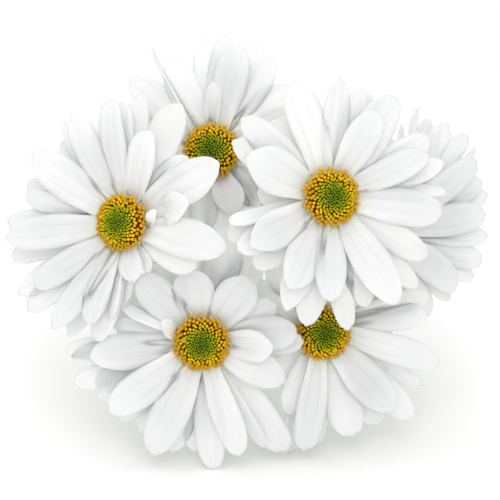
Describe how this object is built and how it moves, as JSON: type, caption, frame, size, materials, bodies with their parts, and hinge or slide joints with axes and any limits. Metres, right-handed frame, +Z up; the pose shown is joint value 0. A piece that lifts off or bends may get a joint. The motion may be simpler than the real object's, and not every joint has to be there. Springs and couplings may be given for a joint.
{
  "type": "bunch of daisies",
  "caption": "Cut spray of white daisies with green-yellow centres, branching stalks and lobed leaves, lying on its lower petals and cut stem.",
  "frame": {"origin": "middle of the bunch's outline, on the surface that it lies on", "axes": "+Z up; the flowers look towards -Y and about 20 degrees up, and the stem runs back to its cut end at +Y; +X is the viewer's right"},
  "size_m": [0.1403, 0.1777, 0.1158],
  "materials": {
    "petals": "soft satin white, faintly green-yellow at the base",
    "disc_florets": "matt, green at the centre, yellow buds, orange open rim",
    "bracts": "matt green with pale dry edges",
    "stalks": "satin, finely ribbed, slightly downy",
    "stem": "satin, ribbed, pale pith at the cut end",
    "leaves": "matt deep green, paler veins and underside"
  },
  "bodies": {
    "root": {"left_daisy_disc": "disc_florets", "left_daisy_petals": "petals", "left_daisy_bracts": "bracts", "left_daisy_stalk": "stalks", "top_daisy_disc": "disc_florets", "top_daisy_petals": "petals", "top_daisy_bracts": "bracts", "top_daisy_stalk": "stalks", "middle_daisy_disc": "disc_florets", "middle_daisy_petals": "petals", "middle_daisy_bracts": "bracts", "middle_daisy_stalk": "stalks", "lower_daisy_disc": "disc_florets", "lower_daisy_petals": "petals", "lower_daisy_bracts": "bracts", "lower_daisy_stalk": "stalks", "corner_daisy_disc": "disc_florets", "corner_daisy_petals": "petals", "corner_daisy_bracts": "bracts", "corner_daisy_stalk": "stalks", "right_daisy_disc": "disc_florets", "right_daisy_petals": "petals", "right_daisy_bracts": "bracts", "right_daisy_stalk": "stalks", "main_stem": "stem", "leaf_upper_left": "leaves", "leaf_upper_right": "leaves", "leaf_middle_left": "leaves", "leaf_top": "leaves", "leaf_low_right": "leaves", "leaf_low_left": "leaves"}
  },
  "joints": []
}
